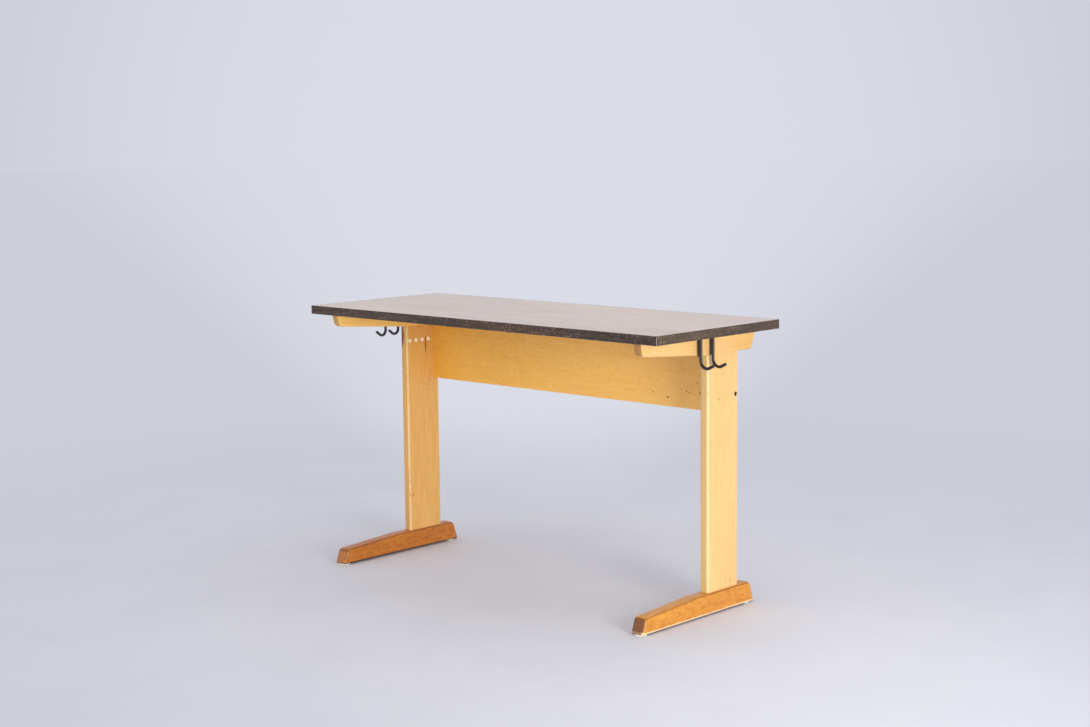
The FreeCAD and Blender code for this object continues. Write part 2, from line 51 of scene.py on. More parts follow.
# Studio: lengths in metres, colours linear
STUDIO_COLOUR = (0.600, 0.612, 0.685)
GLOW_COLOUR = (0.705, 0.717, 0.790)
GLOW_DIRECTION = (-0.687, 0.727, -0.02)
GLOW_EDGE_COSINE = 0.945
FLOOR_COLOUR = (0.735, 0.735, 0.765)
FLOOR_HALF_SIZE = 60.0
FLOOR_FADE_START = 0.9
FLOOR_FADE_END = 3.4

# Lights: places and sizes in metres, angles in radians, power in watts
KEY_PLACE = (3.3, -1.15, 0.8)
KEY_AIM = (0.4, 0.0, 0.45)
KEY_SIZE = (1.2, 1.0)
KEY_POWER = 18.4
KEY_COLOUR = (1.0, 0.99, 0.97)
KEY_BEAM = math.radians(90.0)
OVERHEAD_PLACE = (0.3, 0.1, 3.4)
OVERHEAD_SIZE = (5.0, 4.4)
OVERHEAD_POWER = 31.0
FILL_DIRECTION = (-0.16, -1.0, 0.22)
FILL_STRENGTH = 0.62
FILL_DISC = 1.2

# Object-space axes of a board, in the order along the grain, across the face, through it
GRAIN_ORDER = {"x": "XZY", "y": "YZX", "z": "ZYX"}

# Marks on the beech: colours of pale edges (partly rubbed bare, partly painted highlight), of a pale
# line along a sole, of painted shade under the feet, of dark marks, of nicks and painted shade in bolt
# holes and of painted shade at joints; the usual nick, and the heights over which the pale edges end
# and the dark edges begin
PALE_EDGE_AND_HIGHLIGHT = (0.93, 0.73, 0.43)
PALE_SOLE_LINE = (0.93, 0.68, 0.42)
SOLE_GAP_SHADE = (0.020, 0.012, 0.008)
DARK_BROWN_MARK = (0.235, 0.070, 0.012)
DARK_NICK_AND_SHADE = (0.095, 0.032, 0.006)
JOINT_SHADE_LINE = (0.16, 0.07, 0.02)
NICK_RADIUS = 2.2 * MM
PALE_EDGE_FADE = 4 * MM
DARK_EDGE_FADE = 6 * MM

# Distances from the laminate's edge at which its painted highlight rim starts and is full
HIGHLIGHT_RIM_START = 5 * MM
HIGHLIGHT_RIM_FULL = 1 * MM


# ---- A short way to write node trees ----
# The plain numbers in the materials are pattern periods per metre in scaled(), limits within a 0 to
# 1 pattern in step(), strengths from 0 to 1 in cover(), and linear colours.

class Graph:
    """The node tree of one material or world. Most methods return an output socket."""

    def __init__(self, owner):
        owner.use_nodes = True
        self.owner = owner
        self.tree = owner.node_tree
        self.tree.nodes.clear()

    def node(self, kind, inputs, **settings):
        made = self.tree.nodes.new("ShaderNode" + kind)
        for key, value in settings.items():
            setattr(made, key, value)
        for key, value in inputs.items():
            if isinstance(value, bpy.types.NodeSocket):
                self.tree.links.new(value, made.inputs[key])
            else:
                made.inputs[key].default_value = value
        return made

    def math(self, operation, first, second=0.0, third=0.0):
        return self.node("Math", {0: first, 1: second, 2: third}, operation=operation).outputs[0]

    def vector(self, operation, first, second=(0, 0, 0)):
        made = self.node("VectorMath", {0: first, 1: second}, operation=operation)
        scalar = operation in ("LENGTH", "DISTANCE", "DOT_PRODUCT")
        return made.outputs["Value" if scalar else "Vector"]

    def blend(self, factor, first, second, mode="MIX"):
        """Colour mix: first where factor is 0, second where it is 1."""
        made = self.node("Mix", {}, data_type="RGBA", blend_type=mode, clamp_factor=True)
        for index, value in ((0, factor), (6, first), (7, second)):
            if isinstance(value, bpy.types.NodeSocket):
                self.tree.links.new(value, made.inputs[index])
            elif index == 0:
                made.inputs[index].default_value = value
            else:
                made.inputs[index].default_value = (*value, 1.0)
        return made.outputs[2]

    def tint(self, colour, factors):
        """The colour multiplied by factors."""
        return self.blend(1.0, colour, factors, "MULTIPLY")

    def cover(self, colour, mask, strength, layer):
        """The colour under a layer that is as dense as strength where mask is 1."""
        return self.blend(self.math("MULTIPLY", mask, strength), colour, layer)

    def step(self, value, low, high, to_low=0.0, to_high=1.0):
        """Smooth step: to_low up to low, to_high from high on."""
        inputs = {0: value, 1: low, 2: high, 3: to_low, 4: to_high}
        return self.node("MapRange", inputs, interpolation_type="SMOOTHSTEP").outputs[0]

    def noise(self, place, detail=3.0, roughness=0.55, distortion=0.0):
        inputs = {"Vector": place, "Scale": 1.0, "Detail": detail, "Roughness": roughness,
                  "Distortion": distortion}
        return self.node("TexNoise", inputs).outputs[0]

    def cells(self, place, output="Distance"):
        return self.node("TexVoronoi", {"Vector": place, "Scale": 1.0}).outputs[output]

    def coordinates(self, output="Object"):
        return self.node("TexCoord", {}).outputs[output]

    def split(self, vector):
        """The three components of a vector, by name."""
        return self.node("SeparateXYZ", {0: vector}).outputs

    def scaled(self, place, *factors):
        """Coordinates multiplied by the number of pattern periods per metre along each axis."""
        return self.vector("MULTIPLY", place, factors)

    def bump(self, height, distance, strength=1.0, below=None):
        inputs = {"Height": height, "Distance": distance, "Strength": strength}
        if below is not None:
            inputs["Normal"] = below
        return self.node("Bump", inputs).outputs[0]

    def finish(self, colour, roughness, normal, **constants):
        """Closes the tree with one Principled shader and returns the material."""
        inputs = {"Base Color": colour, "Roughness": roughness, "Normal": normal}
        inputs.update({key.replace("_", " "): value for key, value in constants.items()})
        shader = self.node("BsdfPrincipled", inputs).outputs[0]
        self.node("OutputMaterial", {"Surface": shader})
        return self.owner


def material_graph(name):
    return Graph(bpy.data.materials.new(name))


def backdrop_colour(g, direction):
    """The studio colour, with a soft glow on the back wall round one fixed direction."""
    towards = g.vector("DOT_PRODUCT", g.vector("NORMALIZE", direction), GLOW_DIRECTION)
    return g.blend(g.step(towards, GLOW_EDGE_COSINE, 1.0), STUDIO_COLOUR, GLOW_COLOUR)


def edge_mask(g, low, high):
    """1 on rounded edges and corners, 0 on faces that look along one of the axes. It rises
    between low and high, where 0 is a face and 0.29 the middle of an edge."""
    normal = g.split(g.vector("ABSOLUTE", g.coordinates("Normal")))
    largest = g.math("MAXIMUM", g.math("MAXIMUM", normal["X"], normal["Y"]), normal["Z"])
    return g.step(g.math("SUBTRACT", 1.0, largest), low, high)


def spots(g, places):
    """1 inside each ellipsoid given as (centre, half axes) in metres, with a soft rim."""
    total = None
    for centre, half_axes in places:
        offset = g.vector("SUBTRACT", g.coordinates(), centre)
        reach = g.vector("LENGTH", g.vector("DIVIDE", offset, half_axes))
        spot = g.step(reach, 0.55, 1.15, 1.0, 0.0)
        total = spot if total is None else g.math("MAXIMUM", total, spot)
    return total


# ---- Beech ----

def shade(colour, factor):
    return tuple(factor * part for part in colour)


def grain_coordinates(g, grain, shift):
    """Object coordinates in the order along, across, through, moved so that boards differ."""
    axes = g.split(g.coordinates())
    order = GRAIN_ORDER[grain]
    local = g.node("CombineXYZ", {i: axes[order[i]] for i in range(3)}).outputs[0]
    return g.vector("ADD", local, shift)


def growth_rings(g, local, pith, spacing):
    """Late-wood lines: rings round a pith line beside the board, drawn out into long flames."""
    sway = g.noise(g.scaled(local, 0.9, 5.0, 5.0), 2.0)
    ripple = g.noise(g.scaled(local, 5.0, 45.0, 45.0), 3.0)
    radius = g.vector("LENGTH", g.vector("MULTIPLY", g.vector("SUBTRACT", local, pith), (0, 1, 1)))
    warped = g.math("MULTIPLY_ADD", sway, 0.055, radius)
    warped = g.math("MULTIPLY_ADD", ripple, 0.004, warped)
    phase = g.math("FRACT", g.math("DIVIDE", warped, spacing))
    rise = g.step(phase, 0.25, 0.92)
    return g.math("MULTIPLY", rise, g.step(phase, 0.93, 1.0, 1.0, 0.0))


def ray_flecks(g, local):
    """1 on the short dark flecks of the wood rays, with some of them left out."""
    ray_cells = g.scaled(local, 260.0, 1250.0, 1250.0)
    flecks = g.step(g.cells(ray_cells), 0.16, 0.34, 1.0, 0.0)
    chosen = g.step(g.split(g.cells(ray_cells, "Color"))["X"], 0.45, 0.9)
    return g.math("MULTIPLY", flecks, chosen)


def end_grain_mask(g, grain):
    """1 on faces that cut across the grain."""
    along = g.split(g.vector("ABSOLUTE", g.coordinates("Normal")))[grain.upper()]
    return g.step(along, 0.38, 0.80)


def edge_wear_and_highlight(g, chips, height, edge_paleness, pale_edge_top):
    """1 where a rounded edge is painted pale, partly rubbed bare and partly painted highlight: below
    pale_edge_top, and not where it looks backwards.
    """
    ragged = g.step(chips, 0.62 - 0.3 * edge_paleness, 0.74 - 0.2 * edge_paleness)
    pale_edges = g.math("MULTIPLY", edge_mask(g, 0.0, 0.14), ragged)
    pale_edges = g.math("MULTIPLY", pale_edges, g.step(height, pale_edge_top - PALE_EDGE_FADE, pale_edge_top, 1.0, 0.0))
    backward = g.split(g.coordinates("Normal"))["Y"]
    return g.math("MULTIPLY", pale_edges, g.step(backward, 0.10, 0.40, 1.0, 0.0))


def pale_sole_line(g, colour, chips, height, sole_pale_top):
    """The lower edge of a foot's right side, painted pale up to sole_pale_top with a ragged rim."""
    ragged = g.math("MULTIPLY_ADD", g.math("SUBTRACT", chips, 0.5), 6 * MM, height)
    rubbed = g.step(ragged, sole_pale_top - 1 * MM, sole_pale_top + 0.6 * MM, 1.0, 0.0)
    outward = g.step(g.split(g.coordinates("Normal"))["X"], 0.3, 0.7)
    return g.cover(colour, g.math("MULTIPLY", rubbed, outward), 0.80, PALE_SOLE_LINE)


def shade_sole_gap(g, colour, height, sole_shade_top):
    """A foot's lower edge, painted near-black up to sole_shade_top as painted shade of the gap under it,
    and less so on its underside.
    """
    gap_shade = g.step(height, sole_shade_top - 0.8 * MM, sole_shade_top + 0.5 * MM, 1.0, 0.0)
    beside = g.step(g.split(g.coordinates("Normal"))["Z"], -0.96, -0.80, 0.45, 1.0)
    return g.cover(colour, gap_shade, beside, SOLE_GAP_SHADE)


def beech(name, grain, light, dark, pith, shift=(0, 0, 0), spacing=4.2 * MM, end_colour=None,
          ring_strength=0.34, edge_paleness=0.6, pale_edge_top=1.0, marks=(), stains=(), seams=(), fade=None,
          patchy=0.0, side_tint=None, dark_edges=0.0, sole_shade_top=0.0, sole_pale_top=0.0,
          speckle=0.3, coat=0.10, roughness=0.36):
    """Lacquered beech with its grain along one axis, between a light and a dark colour.

    pith is a point of the growth rings' axis, spacing their distance and ring_strength their
    contrast. patchy adds blotches of darker stain and speckle a fine mottle. fade is (axis, from,
    to, colour): the wood is multiplied by that colour along the axis. side_tint multiplies the
    faces that look along Y as painted shade, and end_colour is for faces across the grain. marks
    are dark nicks and painted shade inside bolt holes, stains are flat brown spots, and seams are
    heights of joints, each drawn as a thin line of painted shade. Edges are painted pale below
    pale_edge_top, partly rubbed bare and partly painted highlight, and dark_edges stains them above it.
    sole_shade_top is the height up to which a foot's lower edge carries painted shade of the gap under
    it, and sole_pale_top the height up to which a pale line runs along its right side."""
    g = material_graph(name)
    local = grain_coordinates(g, grain, shift)
    height = g.split(g.coordinates())["Z"]

    # Figure of the wood
    rings = growth_rings(g, local, pith, spacing)
    tone = g.noise(g.scaled(local, 2.2, 11.0, 11.0), 3.0)
    streaks = g.noise(g.scaled(local, 7.0, 120.0, 120.0), 3.0, 0.6)
    fibres = g.noise(g.scaled(local, 40.0, 1500.0, 1500.0), 2.0)
    mottle = g.noise(g.scaled(local, 60.0, 190.0, 190.0), 3.0, 0.65)
    faint = g.step(g.noise(g.scaled(local, 3.0, 30.0, 30.0), 2.0), 0.35, 0.65)
    amount = g.math("MULTIPLY", rings, g.math("MULTIPLY_ADD", faint, ring_strength, 0.06))
    amount = g.math("MULTIPLY_ADD", g.step(tone, 0.30, 0.72), 0.34, amount)
    amount = g.math("MULTIPLY_ADD", g.step(streaks, 0.35, 0.70), 0.24, amount)
    amount = g.math("MULTIPLY_ADD", g.step(mottle, 0.34, 0.68), 0.20, amount)
    amount = g.math("MULTIPLY_ADD", g.math("SUBTRACT", fibres, 0.5), 0.22, amount)
    colour = g.blend(amount, light, dark)

    # Stain and tints
    if patchy:
        blotches = g.noise(g.scaled(local, 42.0, 95.0, 95.0), 4.0, 0.65, 0.6)
        richer = g.tint(colour, (0.72, 0.56, 0.38))
        colour = g.blend(g.step(blotches, 0.40, 0.64, 0.0, patchy), colour, richer)
    pinkish = g.step(g.noise(g.scaled(local, 1.3, 7.0, 4.0), 2.0), 0.45, 0.75)
    colour = g.cover(colour, pinkish, 0.5, g.tint(colour, (0.97, 0.90, 0.92)))
    if fade:
        axis, start, stop, fade_colour = fade
        faded = g.step(g.split(g.coordinates())[axis], start, stop)
        colour = g.blend(faded, colour, g.tint(colour, fade_colour))
    # Painted shade on the faces that look along Y
    if side_tint:
        sides = g.step(g.split(g.vector("ABSOLUTE", g.coordinates("Normal")))["Y"], 0.55, 0.97)
        colour = g.blend(sides, colour, g.tint(colour, side_tint))

    # Fine marks of the wood, and its end grain
    fine = g.noise(g.scaled(local, 120.0, 330.0, 330.0), 3.0, 0.7)
    specks = g.step(fine, 0.52, 0.70, 0.0, speckle)
    colour = g.blend(specks, colour, g.tint(colour, (0.80, 0.66, 0.45)))
    flecks = ray_flecks(g, local)
    colour = g.cover(colour, flecks, 0.34, shade(dark, 0.45))
    ends = end_grain_mask(g, grain)
    end_shade = end_colour or shade(dark, 0.55)
    end_rings = g.cover(end_shade, rings, 0.6, shade(end_shade, 0.6))
    pores = g.step(mottle, 0.36, 0.62, 0.0, 0.7)
    end_rings = g.blend(pores, end_rings, shade(end_shade, 0.35))
    colour = g.cover(colour, ends, 0.9, end_rings)

    # Pale edges (partly rubbed bare, partly painted highlight), a pale sole line, painted shade under
    # the feet, grime, marks, and painted shade at joints
    chips = g.noise(g.scaled(g.coordinates(), 60.0, 60.0, 60.0), 4.0, 0.65)
    pale_edges = edge_wear_and_highlight(g, chips, height, edge_paleness, pale_edge_top)
    colour = g.cover(colour, pale_edges, 0.60, PALE_EDGE_AND_HIGHLIGHT)
    if dark_edges:
        above = g.step(height, pale_edge_top, pale_edge_top + DARK_EDGE_FADE)
        rims = g.math("MULTIPLY", edge_mask(g, 0.06, 0.26), above)
        colour = g.cover(colour, rims, dark_edges, shade(dark, 0.42))
    if sole_pale_top:
        colour = pale_sole_line(g, colour, chips, height, sole_pale_top)
    # Painted shade of the gap under a foot, on the foot's lower edge
    if sole_shade_top:
        colour = shade_sole_gap(g, colour, height, sole_shade_top)
    grime = g.step(g.noise(g.scaled(g.coordinates(), 9.0, 9.0, 9.0), 5.0, 0.6), 0.56, 0.80)
    colour = g.cover(colour, grime, 0.10, shade(dark, 0.35))
    if stains:
        colour = g.cover(colour, spots(g, stains), 0.95, DARK_BROWN_MARK)
    # marks may include painted shade, which gets the same dark colour as the nicks
    dents_and_shade = spots(g, marks) if marks else None
    if marks:
        colour = g.cover(colour, dents_and_shade, 0.9, DARK_NICK_AND_SHADE)
    # Thin lines of painted shade at the joints, at the heights in seams
    for seam in seams:
        off_seam = g.math("ABSOLUTE", g.math("SUBTRACT", height, seam))
        line = g.step(off_seam, 0.2 * MM, 0.9 * MM, 1.0, 0.0)
        colour = g.cover(colour, line, 0.45, JOINT_SHADE_LINE)

    # Sheen and relief
    scuffs = g.noise(g.scaled(g.coordinates(), 22.0, 22.0, 22.0), 4.0, 0.7)
    gloss = g.step(scuffs, 0.35, 0.75, roughness - 0.05, roughness + 0.12)
    gloss = g.math("MULTIPLY_ADD", pale_edges, 0.18, gloss)
    gloss = g.math("MULTIPLY_ADD", ends, 0.10, gloss)
    relief = g.math("MULTIPLY_ADD", fibres, 0.5, g.math("MULTIPLY", rings, 0.25))
    relief = g.math("MULTIPLY_ADD", flecks, -0.5, relief)
    normal = g.bump(relief, 0.05 * MM, 0.6)
    waviness = g.noise(g.scaled(local, 4.0, 28.0, 28.0), 2.0)
    normal = g.bump(waviness, 0.5 * MM, 0.35, below=normal)
    if marks:
        normal = g.bump(g.math("SUBTRACT", 1.0, dents_and_shade), 0.4 * MM, 0.2, below=normal)
    return g.finish(colour, gloss, normal, Coat_Weight=coat, Coat_Roughness=0.28,
                    Specular_IOR_Level=0.35)


# ---- The top ----

def laminate():
    """Satin laminate with a faint printed wood grain along X, a few stains and fine scratches, and a
    painted highlight along its four edges."""
    g = material_graph("taupe_laminate")
    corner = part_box("tabletop_laminate")[1]
    place = g.coordinates()
    broad = g.noise(g.scaled(place, 1.6, 9.0, 9.0), 3.0)
    streaks = g.noise(g.scaled(place, 4.0, 90.0, 90.0), 4.0, 0.6)
    lines = g.noise(g.scaled(place, 14.0, 520.0, 520.0), 3.0, 0.6)
    amount = g.math("MULTIPLY", g.step(broad, 0.30, 0.70), 0.26)
    amount = g.math("MULTIPLY_ADD", g.step(streaks, 0.32, 0.70), 0.30, amount)
    amount = g.math("MULTIPLY_ADD", g.math("SUBTRACT", lines, 0.5), 0.50, amount)
    speckle = g.noise(g.scaled(place, 90.0, 240.0, 240.0), 3.0, 0.7)
    amount = g.math("MULTIPLY_ADD", g.step(speckle, 0.36, 0.66), 0.30, amount)
    colour = g.blend(amount, (0.780, 0.665, 0.585), (0.555, 0.450, 0.375))

    warm = g.step(g.noise(g.scaled(place, 3.1, 8.0, 1.0), 3.0), 0.50, 0.74)
    colour = g.cover(colour, warm, 0.5, (0.76, 0.64, 0.49))
    smudge = g.step(g.noise(g.scaled(place, 7.0, 7.0, 7.0), 5.0, 0.65), 0.55, 0.80)
    colour = g.cover(colour, smudge, 0.22, (0.46, 0.40, 0.39))

    turned = g.node("VectorRotate", {"Vector": place, "Axis": (0, 0, 1), "Angle": 0.5}).outputs[0]
    scratch_field = g.noise(g.scaled(turned, 6.0, 700.0, 1.0), 2.0, 0.5)
    sparse = g.step(g.noise(g.scaled(turned, 8.0, 20.0, 1.0), 2.0), 0.55, 0.70)
    scratches = g.math("MULTIPLY", g.step(scratch_field, 0.70, 0.78), sparse)
    colour = g.cover(colour, scratches, 0.5, (0.80, 0.77, 0.75))

    # Painted highlight along the laminate's four edges
    reach = g.split(g.vector("ABSOLUTE", place))
    near_ends = g.step(reach["X"], corner.x - HIGHLIGHT_RIM_START, corner.x - HIGHLIGHT_RIM_FULL)
    near_sides = g.step(reach["Y"], corner.y - HIGHLIGHT_RIM_START, corner.y - HIGHLIGHT_RIM_FULL)
    rim = g.math("MAXIMUM", near_ends, near_sides)
    colour = g.cover(colour, rim, 0.55, (0.93, 0.87, 0.82))

    wipes = g.noise(g.scaled(place, 5.0, 9.0, 5.0), 4.0, 0.7)
    gloss = g.step(wipes, 0.3, 0.75, 0.40, 0.56)
    gloss = g.math("MULTIPLY_ADD", scratches, 0.15, gloss)
    pores = g.noise(g.scaled(place, 160.0, 1800.0, 900.0), 2.0)
    normal = g.bump(pores, 0.04 * MM, 0.5)
    normal = g.bump(g.math("SUBTRACT", 1.0, scratches), 0.05 * MM, 0.5, below=normal)
    return g.finish(colour, gloss, normal, Coat_Weight=0.08, Coat_Roughness=0.35)


def edge_band(name, along, rub=None):
    """Dark brown-black edge band with rubbed streaks, pale chips and pale edges.

    rub is (axis, centre, inner, outer, near_tint, far_tint): hands and sleeves have rubbed the
    band towards near_tint within the inner distance from the centre along the axis, and it has
    far_tint beyond the outer distance."""
    g = material_graph(name)
    place = g.coordinates()
    long_way = {"x": (9.0, 260.0, 260.0), "y": (260.0, 9.0, 260.0)}[along]
    streaks = g.noise(g.scaled(place, *long_way), 4.0, 0.6)
    broad = g.noise(g.scaled(place, *(0.12 * factor for factor in long_way)), 3.0)
    amount = g.math("MULTIPLY_ADD", g.step(broad, 0.3, 0.7), 0.4, g.step(streaks, 0.35, 0.75, 0.0, 0.55))
    colour = g.blend(amount, (0.032, 0.021, 0.016), (0.125, 0.083, 0.058))

    grains = g.noise(g.scaled(place, *(min(17.0 * factor, 330.0) for factor in long_way)), 4.0, 0.75)
    patches = g.step(g.noise(g.scaled(place, 16.0, 16.0, 16.0), 3.0), 0.42, 0.70)
    rubbed = g.math("MULTIPLY", g.step(grains, 0.53, 0.64), g.math("MULTIPLY_ADD", patches, 0.7, 0.30))
    colour = g.cover(colour, rubbed, 0.80, (0.36, 0.27, 0.20))
    colour = g.blend(g.step(grains, 0.34, 0.46, 0.7, 0.0), colour, (0.014, 0.009, 0.007))
    lines = g.noise(g.scaled(place, *(2.4 * factor for factor in long_way)), 3.0, 0.6)
    colour = g.blend(g.step(lines, 0.58, 0.72, 0.0, 0.6), colour, (0.020, 0.013, 0.010))

    if rub:
        axis, centre, inner, outer, near_tint, far_tint = rub
        distance = g.math("ABSOLUTE", g.math("SUBTRACT", g.split(place)[axis], centre))
        tint = g.blend(g.step(distance, inner, outer), near_tint, far_tint)
        colour = g.tint(colour, tint)

    chips = g.noise(g.scaled(place, 85.0, 85.0, 85.0), 4.0, 0.7)
    pale_edges = g.math("MULTIPLY", edge_mask(g, 0.03, 0.16), g.step(chips, 0.36, 0.56))
    colour = g.cover(colour, pale_edges, 0.85, (0.42, 0.36, 0.31))

    gloss = g.step(grains, 0.3, 0.75, 0.42, 0.62)
    normal = g.bump(streaks, 0.06 * MM, 0.6)
    normal = g.bump(g.math("SUBTRACT", 1.0, rubbed), 0.08 * MM, 0.5, below=normal)
    return g.finish(colour, gloss, normal, Specular_IOR_Level=0.3)


def chipboard():
    """Pressed wood chips, seen only inside drilled holes."""
    g = material_graph("chipboard")
    chips = g.cells(g.scaled(g.coordinates(), 260.0, 420.0, 900.0), "Color")
    colour = g.blend(g.split(chips)["X"], (0.60, 0.46, 0.28), (0.36, 0.24, 0.12))
    crumbs = g.noise(g.scaled(g.coordinates(), 900.0, 900.0, 900.0), 3.0)
    return g.finish(colour, g.step(crumbs, 0.3, 0.7, 0.7, 0.9), g.bump(crumbs, 0.3 * MM, 0.8))


def backing():
    """The plain brown laminate under the top, with pale dust and long sanding streaks."""
    g = material_graph("backing_laminate")
    place = g.coordinates()
    streaks = g.noise(g.scaled(place, 5.0, 160.0, 160.0), 4.0, 0.6)
    fine = g.noise(g.scaled(place, 420.0, 420.0, 420.0), 3.0)
    colour = g.blend(g.step(streaks, 0.3, 0.7), (0.44, 0.33, 0.22), (0.35, 0.25, 0.16))
    dust = g.step(g.noise(g.scaled(place, 6.0, 6.0, 6.0), 5.0, 0.6), 0.5, 0.8)
    colour = g.cover(colour, dust, 0.3, (0.52, 0.45, 0.38))
    colour = g.cover(colour, g.step(fine, 0.55, 0.75), 0.3, (0.24, 0.17, 0.11))
    return g.finish(colour, g.step(fine, 0.3, 0.7, 0.55, 0.72), g.bump(fine, 0.06 * MM, 0.6))


# ---- Metal and plastic ----

def black_steel():
    """Satin black finish on bent rod, rubbed paler in places."""
    g = material_graph("black_steel")
    place = g.coordinates()
    grains = g.noise(g.scaled(place, 420.0, 420.0, 420.0), 3.0)
    patches = g.noise(g.scaled(place, 70.0, 70.0, 70.0), 4.0, 0.65)
    rubbed = g.step(patches, 0.60, 0.74)
    colour = g.blend(g.step(grains, 0.3, 0.7), (0.008, 0.006, 0.005), (0.022, 0.016, 0.013))
    colour = g.cover(colour, rubbed, 0.4, (0.10, 0.08, 0.065))
    gloss = g.step(patches, 0.3, 0.75, 0.27, 0.40)
    normal = g.bump(grains, 0.04 * MM, 0.5)
    return g.finish(colour, gloss, normal, Specular_IOR_Level=0.50)


def blackened_steel():
    """The dull black finish of the sunk bolts and their washers, with a little rust."""
    g = material_graph("blackened_steel")
    place = g.coordinates()
    grains = g.noise(g.scaled(place, 900.0, 900.0, 900.0), 4.0, 0.65)
    rust = g.step(g.noise(g.scaled(place, 240.0, 240.0, 240.0), 3.0), 0.52, 0.72)
    colour = g.blend(g.step(grains, 0.3, 0.7), (0.012, 0.010, 0.009), (0.026, 0.021, 0.017))
    colour = g.cover(colour, rust, 0.35, (0.060, 0.026, 0.012))
    gloss = g.step(grains, 0.3, 0.7, 0.55, 0.75)
    return g.finish(colour, gloss, g.bump(grains, 0.05 * MM, 0.6), Specular_IOR_Level=0.25)


def plated_steel():
    """Zinc-plated fasteners with a brushed, slightly yellow sheen and dull spots."""
    g = material_graph("plated_steel")
    place = g.coordinates()
    brushed = g.noise(g.scaled(place, 2400.0, 2400.0, 300.0), 3.0)
    dull = g.step(g.noise(g.scaled(place, 260.0, 260.0, 260.0), 4.0, 0.6), 0.50, 0.72)
    colour = g.blend(brushed, (0.52, 0.50, 0.45), (0.70, 0.68, 0.62))
    colour = g.cover(colour, dull, 0.5, (0.34, 0.30, 0.25))
    gloss = g.math("MULTIPLY_ADD", dull, 0.22, g.step(brushed, 0.3, 0.7, 0.26, 0.38))
    return g.finish(colour, gloss, g.bump(brushed, 0.03 * MM, 0.5), Metallic=0.9)


def glide_plastic():
    """Off-white moulded plastic, grey and scuffed towards the floor."""
    g = material_graph("glide_plastic")
    place = g.coordinates()
    mottling = g.noise(g.scaled(place, 130.0, 130.0, 130.0), 3.0)
    colour = g.blend(g.step(mottling, 0.3, 0.7), (0.95, 0.90, 0.79), (0.88, 0.81, 0.67))
    low_down = g.step(g.split(place)["Z"], 0.5 * MM, 4.0 * MM, 1.0, 0.15)
    scratches = g.noise(g.scaled(place, 500.0, 500.0, 200.0), 4.0, 0.7)
    scuffs = g.math("MULTIPLY", g.step(scratches, 0.42, 0.66), low_down)
    colour = g.cover(colour, scuffs, 0.4, (0.40, 0.36, 0.31))
    gloss = g.math("MULTIPLY_ADD", scuffs, 0.25, g.step(mottling, 0.3, 0.7, 0.34, 0.46))
    return g.finish(colour, gloss, g.bump(g.math("SUBTRACT", 1.0, scuffs), 0.1 * MM, 0.5))


def mark_plastic():
    """Pale plastic size marks, mottled and yellowed a little."""
    g = material_graph("mark_plastic")
    place = g.coordinates()
    mottling = g.noise(g.scaled(place, 300.0, 300.0, 300.0), 4.0, 0.6)
    colour = g.blend(g.step(mottling, 0.3, 0.75), (1.0, 0.93, 0.81), (0.95, 0.85, 0.69))
    return g.finish(colour, g.step(mottling, 0.3, 0.7, 0.36, 0.50), g.bump(mottling, 0.05 * MM, 0.6))


# ---- Which material each CAD node wears ----

def dress(node, material):
    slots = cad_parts[node].data.materials
    slots.clear()
    slots.append(material)


def nick(x, y, z, radius=NICK_RADIUS):
    """A small round dent in a board's face."""
    return (x, y, z), (radius, radius, radius)


# Light and dark wood colours of the boards, colours of their ends, and the height up to which
# the feet's edges are painted pale
PALE = (0.89, 0.575, 0.232)
PALE_DARK = (0.77, 0.450, 0.150)
HONEY = (0.82, 0.465, 0.135)
HONEY_DARK = (0.655, 0.32, 0.068)
SUNNY = (1.0, 0.66, 0.21)
SUNNY_DARK = (0.94, 0.53, 0.13)
AMBER = (1.0, 0.545, 0.089)
AMBER_DARK = (0.905, 0.430, 0.053)
RIGHT_FOOT = (0.765, 0.345, 0.042)
RIGHT_FOOT_DARK = (0.565, 0.198, 0.0145)
LEFT_FOOT = (0.62, 0.215, 0.018)
LEFT_FOOT_DARK = (0.42, 0.120, 0.008)
RIGHT_BEARER_END = (0.56, 0.245, 0.062)
LEFT_BEARER_END = (0.88, 0.46, 0.13)
RIGHT_FOOT_END = (0.20, 0.060, 0.017)
LEFT_FOOT_END = (0.66, 0.240, 0.052)
FOOT_PALE_EDGE_TOP = 13 * MM

post_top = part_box("right_post")[1].z
post_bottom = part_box("right_post")[0].z
right_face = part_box("right_post")[1].x
left_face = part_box("left_post")[1].x
left_outer_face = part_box("left_post")[0].x
post_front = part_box("left_post")[0].y
board_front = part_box("stretcher_board")[0].y
board_left, board_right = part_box("stretcher_board")[0].x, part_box("stretcher_board")[1].x
bolt_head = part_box("right_stretcher_bolt")
bolt_y, bolt_z = (bolt_head[0].y + bolt_head[1].y) / 2, (bolt_head[0].z + bolt_head[1].z) / 2

# Painted shade inside the bolt holes: half axes, and depth of the middle below the post's face
BORE_SHADE = (14.0 * MM, 8.0 * MM, 8.0 * MM)
BORE_SHADE_DEPTH = 9.6 * MM

# The right post's nicks, with painted shade inside its bolt hole as the last entry
RIGHT_POST_NICKS_AND_BORE_SHADE = [nick(right_face, 0.082, 0.561), nick(right_face, 0.137, 0.630, 1.6 * MM),
                    nick(right_face, 0.060, 0.318, 1.5 * MM), nick(right_face, 0.118, 0.452, 1.3 * MM),
                    ((right_face, 0.128, 0.077), (2 * MM, 2 * MM, 4 * MM)),
                    ((right_face - BORE_SHADE_DEPTH, bolt_y, bolt_z), BORE_SHADE)]
